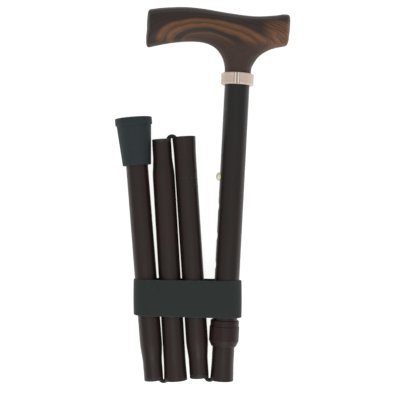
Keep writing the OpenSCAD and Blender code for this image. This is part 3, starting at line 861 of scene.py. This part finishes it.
def collar():
    """Collar with bevelled edges, two raised rims and a recess at its front that holds a pair of bars."""
    place = placed("handle_collar", SHAFT)
    # Half a bar's height lower, so that the bars stay inside the model's box
    start = place.start - UP * BAR_OUT / 2 + place.along * COLLAR_RAISE
    top = place.length - COLLAR_SHORT
    place = place._replace(start=start, length=top)
    knee = COLLAR_BEVEL + COLLAR_RIM
    end_r = COLLAR_R - COLLAR_BEVEL
    low_r = COLLAR_R - COLLAR_STEP
    corners = [
        (TUBE_IN_COLLAR_R, 0, COLLAR_FINE),
        (end_r, 0, COLLAR_SOFT),
        (COLLAR_R, COLLAR_BEVEL, COLLAR_SOFT),
        (COLLAR_R, knee, COLLAR_FINE),
        (low_r, knee + COLLAR_STEP, COLLAR_FINE),
        (low_r, top - knee - COLLAR_STEP, COLLAR_FINE),
        (COLLAR_R, top - knee, COLLAR_FINE),
        (COLLAR_R, top - COLLAR_BEVEL, COLLAR_SOFT),
        (end_r, top, COLLAR_SOFT),
        (NECK_IN_COLLAR_R, top, COLLAR_FINE),
        (NECK_IN_COLLAR_R, COLLAR_GRIP, 0),
        (TUBE_IN_COLLAR_R, COLLAR_GRIP, 0),
    ]
    ring = lathe("collar_ring", place, corners, segments=COLLAR_SEGMENTS)
    sink_recess(ring, place)
    dress(ring, collar_metal, "handle_section", ["handle_collar"])
    for number, hand in enumerate((-1, 1), 1):
        collar_bar(number, place, BAR_SHIFT + hand * BAR_PITCH / 2)


def sink_recess(ring, place):
    """Presses the recess for the bars into the collar's front, and marks it for painted shade."""
    away = points_of(ring) - place.start
    level = away @ place.along
    across = away @ place.side
    up = away @ UP
    radius = np.hypot(up, across)
    margin = COLLAR_BEVEL / 2
    inside = (up > 0) & (radius > COLLAR_R - margin)
    inside &= np.abs(across - BAR_SHIFT) < RECESS_W / 2
    inside &= np.abs(level - place.length / 2) < place.length / 2 - margin
    share = np.where(inside, (COLLAR_R - RECESS_DEPTH) / radius, 1.0)[:, None]
    on_axis = place.along * level[:, None]
    move_points(ring, place.start + on_axis + (away - on_axis) * share)
    # Mask of the recess, where the collar metal is painted darker as shade
    recess_shade = ring.data.attributes.new("recess_shade", "FLOAT", "POINT")
    recess_shade.data.foreach_set("value", inside.astype(np.float32))


def collar_bar(number, place, shift):
    """One upright bar of the collar, rounded at its ends and over its edges."""
    middle = place.start + place.along * place.length / 2
    turn = math.asin(shift / COLLAR_R)
    out = UP * math.cos(turn) + place.side * math.sin(turn)
    across = place.side * math.cos(turn) - UP * math.sin(turn)
    half_w = BAR_W / 2
    half_h = (place.length - COLLAR_BEVEL) / 2
    signs = ((-1, -1), (1, -1), (1, 1), (-1, 1))
    outline, wear_and_highlight = rounded([(i * half_w, j * half_h, BAR_CORNER) for i, j in signs])
    foot = COLLAR_R - RECESS_DEPTH - BAR_SINK
    levels = foot + (COLLAR_R + BAR_OUT - foot) * BAR_LEVELS
    shrink = 1 - half_w * BAR_INSETS[:, None] / np.array((half_w, half_h))
    rows = []
    for level, share in zip(levels, shrink):
        row = outline * share
        rows.append(middle + out * level + row[:, :1] * across + row[:, 1:] * place.along)
    v = lengths_along(outline, True)
    bar = skin(f"collar_bar_{number}", np.stack(rows), False, True, levels, v, wear_and_highlight)
    cap_ends(bar, len(outline))
    return dress(bar, bar_painted_highlight, "handle_section")


def tube_outline(length, rise, necked=False, mark=None):
    """Corners of a tube's wall from its plain or necked end to its mouth, with rolled edges."""
    shoulder = NECK_LEN + TAPER_LEN
    flare = length - FLARE_LEN
    if necked:
        corners = [(NECK_BORE_R, 0, TUBE_END_IN), (NECK_R, 0, TUBE_END_OUT)]
        corners += [(NECK_R, NECK_LEN, NECK_BEND), (TUBE_R, shoulder, TUBE_BEND)]
    else:
        corners = [(BORE_R, 0, TUBE_END_IN), (TUBE_R, 0, TUBE_END_OUT)]
    if mark:
        corners += score_line(length - mark)
    if rise:
        corners.append((TUBE_R, flare, TUBE_BEND))
    corners += [(TUBE_R + rise, length, TUBE_ROLL), (BORE_R + rise, length, TUBE_ROLL)]
    if rise:
        corners.append((BORE_R, flare, TUBE_BEND))
    if necked:
        corners += [(BORE_R, shoulder, TUBE_BEND), (NECK_BORE_R, NECK_LEN, TUBE_BEND)]
    return corners


def score_line(level):
    """Corners of a thin line scored round a tube."""
    return [
        (TUBE_R, level, MARK_EDGE),
        (TUBE_R - MARK_DEPTH, level + MARK_W / 2, MARK_EDGE),
        (TUBE_R, level + MARK_W, MARK_EDGE),
    ]


def section_tube(number, along, rise, mark):
    """Swaged tube: neck, taper, straight tube and mouth."""
    place = placed(f"tube_{number}", along)
    corners = tube_outline(place.length, rise, necked=True, mark=mark)
    piece = lathe(f"tube_{number}_shell", place, corners)
    return dress(piece, tube_paint, f"section_{number}", [f"tube_{number}"])


def hole_rods(centres, toward):
    """Rods of the holes' size that stand out from the shaft's axis."""
    turn = Vector(toward).to_track_quat("Z", "Y").to_matrix().to_4x4()
    rod = {"segments": HOLE_SEGMENTS, "radius1": HOLE_R, "radius2": HOLE_R, "depth": UPPER_R}
    work = bmesh.new()
    for centre in centres:
        matrix = turn.copy()
        matrix.translation = Vector(centre + toward * UPPER_R)
        bmesh.ops.create_cone(work, cap_ends=True, matrix=matrix, **rod)
    mesh = bpy.data.meshes.new("hole_rods")
    work.to_mesh(mesh)
    work.free()
    return linked("hole_rods", mesh)


def drilled(piece, centres, toward):
    """Cuts round holes of the button's size through one wall of a tube."""
    rods = hole_rods(centres, toward)
    piece.modifiers.clear()
    cut = piece.modifiers.new("holes", "BOOLEAN")
    cut.object = rods
    cut.operation = "DIFFERENCE"
    cut.solver = "EXACT"
    bake(piece)
    bpy.data.objects.remove(rods)
    piece.data.set_sharp_from_angle(angle=SHARP_ANGLE)
    piece.modifiers.new("even_normals", "WEIGHTED_NORMAL").keep_sharp = True
    return piece


def button_axis():
    """Point of the shaft's axis level with the snap button, and the direction in which the button points."""
    toward = -unit(joints["button_press"]["axis"])
    start = placed("upper_tube", SHAFT).start
    low, high = box_of("snap_button")
    return start + SHAFT * (((low + high) / 2 - start) @ SHAFT), toward


def shaft_tubes():
    """Upper tube with its row of adjusting holes, and the inner tube that slides in it."""
    level, toward = button_axis()
    place = placed("upper_tube", SHAFT)
    corners = [
        (UPPER_BORE_R, 0, UPPER_EDGE),
        (UPPER_R, 0, UPPER_EDGE),
        (UPPER_R, place.length, UPPER_EDGE),
        (UPPER_BORE_R, place.length, UPPER_EDGE),
    ]
    holes = [level - SHAFT * HOLE_PITCH * number for number in range(HOLE_COUNT)]
    upper = drilled(lathe("upper_tube_shell", place, corners), holes, toward)
    dress(upper, upper_paint, "handle_section", ["upper_tube"])
    place = placed(INNER.node, INNER.along)
    shell = lathe("inner_tube_shell", place, tube_outline(place.length, FLARE_RISE))
    inner = drilled(shell, [level], toward)
    dress(inner, tube_paint, INNER.body, [INNER.node])


def lock_grip():
    """Turning ring of the lock: a slope up to a straight grip, with soft edges."""
    place = placed("lock_ring", SHAFT)
    corners = [
        (LOCK_BORE_R, LOCK_LIFT, LOCK_BORE_EDGE),
        (LOCK_FOOT_R, LOCK_LIFT, LOCK_SOFT),
        (LOCK_KNEE_R, LOCK_SLOPE, LOCK_SOFT),
        (LOCK_R, LOCK_SLOPE + LOCK_KNEE, LOCK_EDGE),
        (LOCK_R, place.length, LOCK_EDGE),
        (LOCK_SOCKET_R, place.length, LOCK_SOCKET_EDGE),
        (LOCK_SOCKET_R, LOCK_FLOOR, 0),
        (LOCK_BORE_R, LOCK_FLOOR, 0),
    ]
    piece = lathe("lock_grip", place, corners)
    return dress(piece, lock_plastic, "lock_ring", ["lock_ring"])


def tread_groove(inner):
    """Corners of one ring groove in the sole."""
    outer = inner + TREAD_W
    return [
        (inner, 0, TREAD_EDGE),
        (inner + TREAD_DRAFT, TREAD_DEPTH, TREAD_EDGE),
        (outer - TREAD_DRAFT, TREAD_DEPTH, TREAD_EDGE),
        (outer, 0, TREAD_EDGE),
    ]


def rubber_foot():
    """Moulded ferrule with rounded rim, tapered sleeve and ring grooves under its sole."""
    place = placed("ferrule", -SECTION_4)
    length = place.length + SLEEVE_MORE
    corners = [(0, 0, 0)]
    for groove in range(TREAD_COUNT):
        corners += tread_groove(TREAD_R + TREAD_PITCH * groove)
    corners += [
        (FOOT_R, 0, FOOT_SOLE_EDGE),
        (FOOT_R, FOOT_RIM, FOOT_RIM_EDGE),
        (FOOT_STEP_R, FOOT_RIM + FOOT_STEP, FOOT_STEP_EDGE),
        (SLEEVE_R, length, SLEEVE_EDGE),
        (SLEEVE_BORE_R, length, SLEEVE_BORE_EDGE),
        (SLEEVE_BORE_R, FOOT_SOLE, 0),
        (0, FOOT_SOLE, 0),
    ]
    piece = lathe("ferrule_rubber", place, corners, closed=False)
    return dress(piece, ferrule_rubber, "section_4", ["ferrule"])


def band_path(left, right, radius, level, height):
    """Closed line round the bundle, two half circles and two straight sides, and its outward directions."""
    turn = np.linspace(-math.pi / 2, math.pi / 2, BAND_ARC_STEPS)
    straight = np.linspace(left, right, BAND_SIDE_STEPS)[1:-1]
    still = np.zeros_like(straight)
    ends = np.zeros_like(turn)
    centre_x = np.concatenate((ends + right, straight[::-1], ends + left, straight))
    out_x = np.concatenate((np.cos(turn), still, -np.cos(turn), still))
    out_z = np.concatenate((np.sin(turn), still + 1, -np.sin(turn), still - 1))
    outward = np.stack((out_x, np.zeros_like(out_x), out_z), -1)
    centres = np.stack((centre_x, np.full_like(centre_x, level), np.full_like(centre_x, height)), -1)
    return centres + radius * outward, outward


def band_section(half, tall):
    """Corners of the band's section: a crowned outside, a flat inside and soft edges."""
    heights = np.linspace(-tall, tall, BAND_HEIGHT_STEPS)[1:-1]
    outside = [(half + BAND_CROWN * (1 - (h / tall) ** 2), h, 0) for h in heights]
    inside = [(-half, h, 0) for h in heights[::-1]]
    return [
        (half, -tall, BAND_SOFT),
        *outside,
        (half, tall, BAND_SOFT),
        (-half, tall, BAND_SOFT),
        *inside,
        (-half, -tall, BAND_SOFT),
    ]


def elastic_band():
    """Closed elastic band: a crowned strip carried round the bundle."""
    low, high = box_of("storage_band")
    level = (low[1] + high[1]) / 2
    outer_r = (high[2] - low[2]) / 2
    left = low[0] + outer_r + BAND_SNUG
    right = high[0] - outer_r
    path, outward = band_path(left, right, outer_r - BAND_WALL / 2, level, low[2] + outer_r)
    section, wear_and_highlight = rounded(band_section(BAND_WALL / 2, (high[1] - low[1]) / 2))
    upward = np.zeros_like(path) + (0, 1, 0)
    piece = sweep("band_elastic", path, outward, upward, section, wear_and_highlight, True)
    tilt_band(piece, low, high)
    dress(piece, band_elastic, "storage_band", ["storage_band"])
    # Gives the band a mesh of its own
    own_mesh(piece)
    return piece


def tilt_band(piece, low, high):
    """Lets the band hang a little lower at the shaft's side."""
    points = points_of(piece)
    share = (points[:, 0] - low[0]) / (high[0] - low[0]) - 0.5
    rise = (points[:, 1] - low[1]) / (high[1] - low[1])
    top_drop, bottom_drop = BAND_DROP
    points[:, 1] -= share * (top_drop * rise + bottom_drop * (1 - rise))
    move_points(piece, points)


def axis_near(tube, point):
    """Point of a tube's axis that is level with a given point."""
    start = placed(tube.node, tube.along).start
    return start + tube.along * ((point - start) @ tube.along)


def bend_path(centre, along, side, lean, reaches):
    """Line of a bend: a leg, an arc and a leg, each leg leaning away from the bend's own direction."""
    turn = np.linspace(math.pi - lean, lean, BEND_STEPS)
    radius = LOOP_R + CORD_R - BEND_CORD_R
    arc = centre + radius * (np.cos(turn)[:, None] * side + np.sin(turn)[:, None] * along)
    legs = []
    for reach, foot, hand in zip(reaches, (arc[0], arc[-1]), (-1, 1)):
        direction = -along * math.cos(lean) + side * hand * math.sin(lean)
        legs.append(foot + direction * np.linspace(reach, 0, BEND_STEPS)[:, None])
    return np.vstack((legs[0][:-1], arc, legs[1][::-1][1:]))


def cord_bend(number, host, far, rides):
    """Bend of the elastic cord from one tube into the next: a short leg in the tube it rides on, and in
    the other tube a leg long enough to stay there as the plug slides."""
    outward = unit(host.along - far.along)
    start, along, side, length = placed(f"cord_loop_{number}", outward)
    centre = start + along * (length - LOOP_R - CORD_R - BEND_DRAWN_IN[number])
    tubes = sorted((host, far), key=lambda tube: axis_near(tube, centre) @ side)
    reaches = [SHORT_LEG if tube is rides else LONG_LEG for tube in tubes]
    lean = math.acos(min(1.0, float(outward @ unit(host.along))))
    path = bend_path(centre, along, side, lean, reaches)
    tangent = np.gradient(path, axis=0)
    tangent /= np.linalg.norm(tangent, axis=1)[:, None]
    across = np.cross(tangent, UP)
    upward = np.zeros_like(path) + UP
    angle = np.linspace(0, 2 * math.pi, CORD_SIDES, endpoint=False)
    section = BEND_CORD_R * np.stack((np.cos(angle), np.sin(angle)), -1)
    piece = sweep(f"cord_bend_{number}", path, across, upward, section, np.zeros(CORD_SIDES), False)
    cap_ends(piece, CORD_SIDES)
    dress(piece, cord_braid, rides.body, [f"cord_loop_{number}"])
    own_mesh(piece)
    return piece


wooden_handle()
collar()
for section in SECTIONS:
    section_tube(*section)
shaft_tubes()
lock_grip()
rubber_foot()
elastic_band()
cord_bend(1, INNER, SECOND, rides=SECOND)
cord_bend(2, SECOND, THIRD, rides=SECOND)
cord_bend(3, THIRD, FOURTH, rides=THIRD)
for material, edge, nodes in KEPT_NODES:
    for node in nodes:
        soften(node, material, edge)


# Floor, light and camera


def floor():
    """Pale floor just under the cane, which glows so that it shows nearly white."""
    half = FLOOR_SIZE / 2
    corners = [(-half, -half, 0), (half, -half, 0), (half, half, 0), (-half, half, 0)]
    mesh = bpy.data.meshes.new("floor")
    mesh.from_pydata(corners, [], [(0, 1, 2, 3)])
    piece = linked("floor", mesh)
    piece.location.z = cad_box[0].z - FLOOR_DROP
    material = bpy.data.materials.new("pale_floor")
    material.use_nodes = True
    shader = material.node_tree.nodes["Principled BSDF"]
    shader.inputs["Base Color"].default_value = FLOOR_COLOUR
    shader.inputs["Roughness"].default_value = FLOOR_ROUGHNESS
    shader.inputs["Emission Color"].default_value = FLOOR_GLOW_COLOUR
    shader.inputs["Emission Strength"].default_value = FLOOR_GLOW
    mesh.materials.append(material)
    piece.visible_diffuse = False


def soft_light(light):
    """Round area light that faces its target."""
    data = bpy.data.lights.new(light.name, "AREA")
    data.shape = "DISK"
    data.size = light.size
    data.energy = light.watts
    lamp = linked(light.name, data)
    lamp.location = light.place
    facing = Vector(light.target) - Vector(light.place)
    lamp.rotation_euler = facing.to_track_quat("-Z", "Y").to_euler()


def surroundings():
    """Pale dome, brightest at the horizon."""
    world = bpy.data.worlds.new("studio")
    world.use_nodes = True
    tree = world.node_tree
    where = tree.nodes.new("ShaderNodeTexCoord")
    parts = tree.nodes.new("ShaderNodeSeparateXYZ")
    glow = tree.nodes.new("ShaderNodeFloatCurve")
    curve = glow.mapping.curves[0]
    glow.mapping.use_clip = False
    while len(curve.points) < len(SKY):
        curve.points.new(0, 0)
    for point, place in zip(curve.points, SKY):
        point.location = place
        point.handle_type = "VECTOR"
    glow.mapping.update()
    background = tree.nodes["Background"]
    background.inputs["Color"].default_value = SKY_COLOUR
    tree.links.new(where.outputs["Generated"], parts.inputs[0])
    tree.links.new(parts.outputs["Z"], glow.inputs["Value"])
    tree.links.new(glow.outputs["Value"], background.inputs["Strength"])
    bpy.context.scene.world = world
    bpy.context.scene.view_settings.view_transform = "Standard"


def camera():
    """Camera straight above the cane, at the photograph's distance and framing."""
    data = bpy.data.cameras.new("camera")
    data.sensor_width = SENSOR
    data.lens = SENSOR * VIEW_DISTANCE / VIEW_WIDTH
    eye = linked("camera", data)
    axis_z = placed("upper_tube", SHAFT).start[2]
    eye.location = (*VIEW_CENTRE, axis_z + VIEW_DISTANCE)
    bpy.context.scene.camera = eye


floor()
surroundings()
for light in LIGHTS:
    soft_light(light)
camera()
